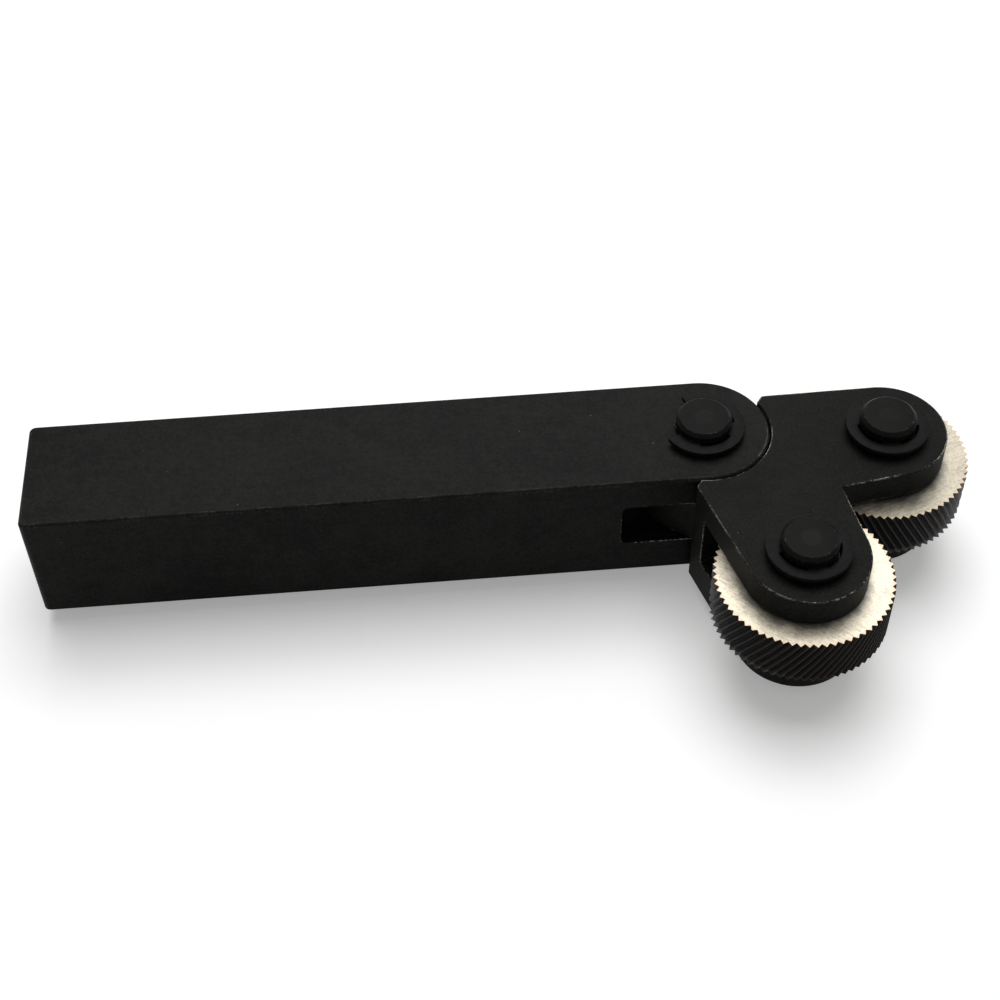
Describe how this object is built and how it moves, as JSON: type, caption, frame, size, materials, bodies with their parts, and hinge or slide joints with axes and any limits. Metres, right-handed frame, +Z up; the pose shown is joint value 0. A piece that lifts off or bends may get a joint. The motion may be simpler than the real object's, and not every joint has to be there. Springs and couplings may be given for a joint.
{
  "type": "swivel-head knurling tool",
  "caption": "Lathe knurling tool: square shank with a forked round nose, V-shaped head swivelling on a pivot pin, helical knurl wheels on clipped pins.",
  "frame": {"origin": "on the shank's bottom seating face, in the middle of the length that a toolpost clamps", "axes": "+X along the shank towards the head, +Y away from the near side, +Z up along the pivot pin's axis"},
  "size_m": [0.1419, 0.0485, 0.0258],
  "materials": {
    "shank_oxide": "satin black oxide",
    "head_oxide": "fine-blasted black oxide",
    "pin_steel": "turned, black oxide",
    "clip_steel": "phosphated spring steel",
    "wheel_steel": "ground faces, cut teeth"
  },
  "bodies": {
    "shank": {"shank": "shank_oxide", "pivot_pin": "pin_steel", "pivot_clip_lower": "clip_steel", "pivot_clip_upper": "clip_steel"},
    "head": {"head": "head_oxide", "wheel_pin_near": "pin_steel", "wheel_clip_lower_near": "clip_steel", "wheel_clip_upper_near": "clip_steel", "wheel_pin_far": "pin_steel", "wheel_clip_lower_far": "clip_steel", "wheel_clip_upper_far": "clip_steel"},
    "wheel_near": {"knurl_wheel_near": "wheel_steel"},
    "wheel_far": {"knurl_wheel_far": "wheel_steel"}
  },
  "joints": [
    {"name": "head_swivel", "type": "hinge", "parent": "shank", "child": "head", "pos_m": [0.05735, 0, 0.01], "axis": [0, 0, 1], "range_deg": [-3, 75]},
    {"name": "near_wheel_spin", "type": "hinge", "parent": "head", "child": "wheel_near", "pos_m": [0.06843, -0.02513, 0.01115], "axis": [0, 0, 1], "continuous": true},
    {"name": "far_wheel_spin", "type": "hinge", "parent": "head", "child": "wheel_far", "pos_m": [0.08467, -0.00278, 0.0107], "axis": [0, 0, 1], "continuous": true}
  ]
}
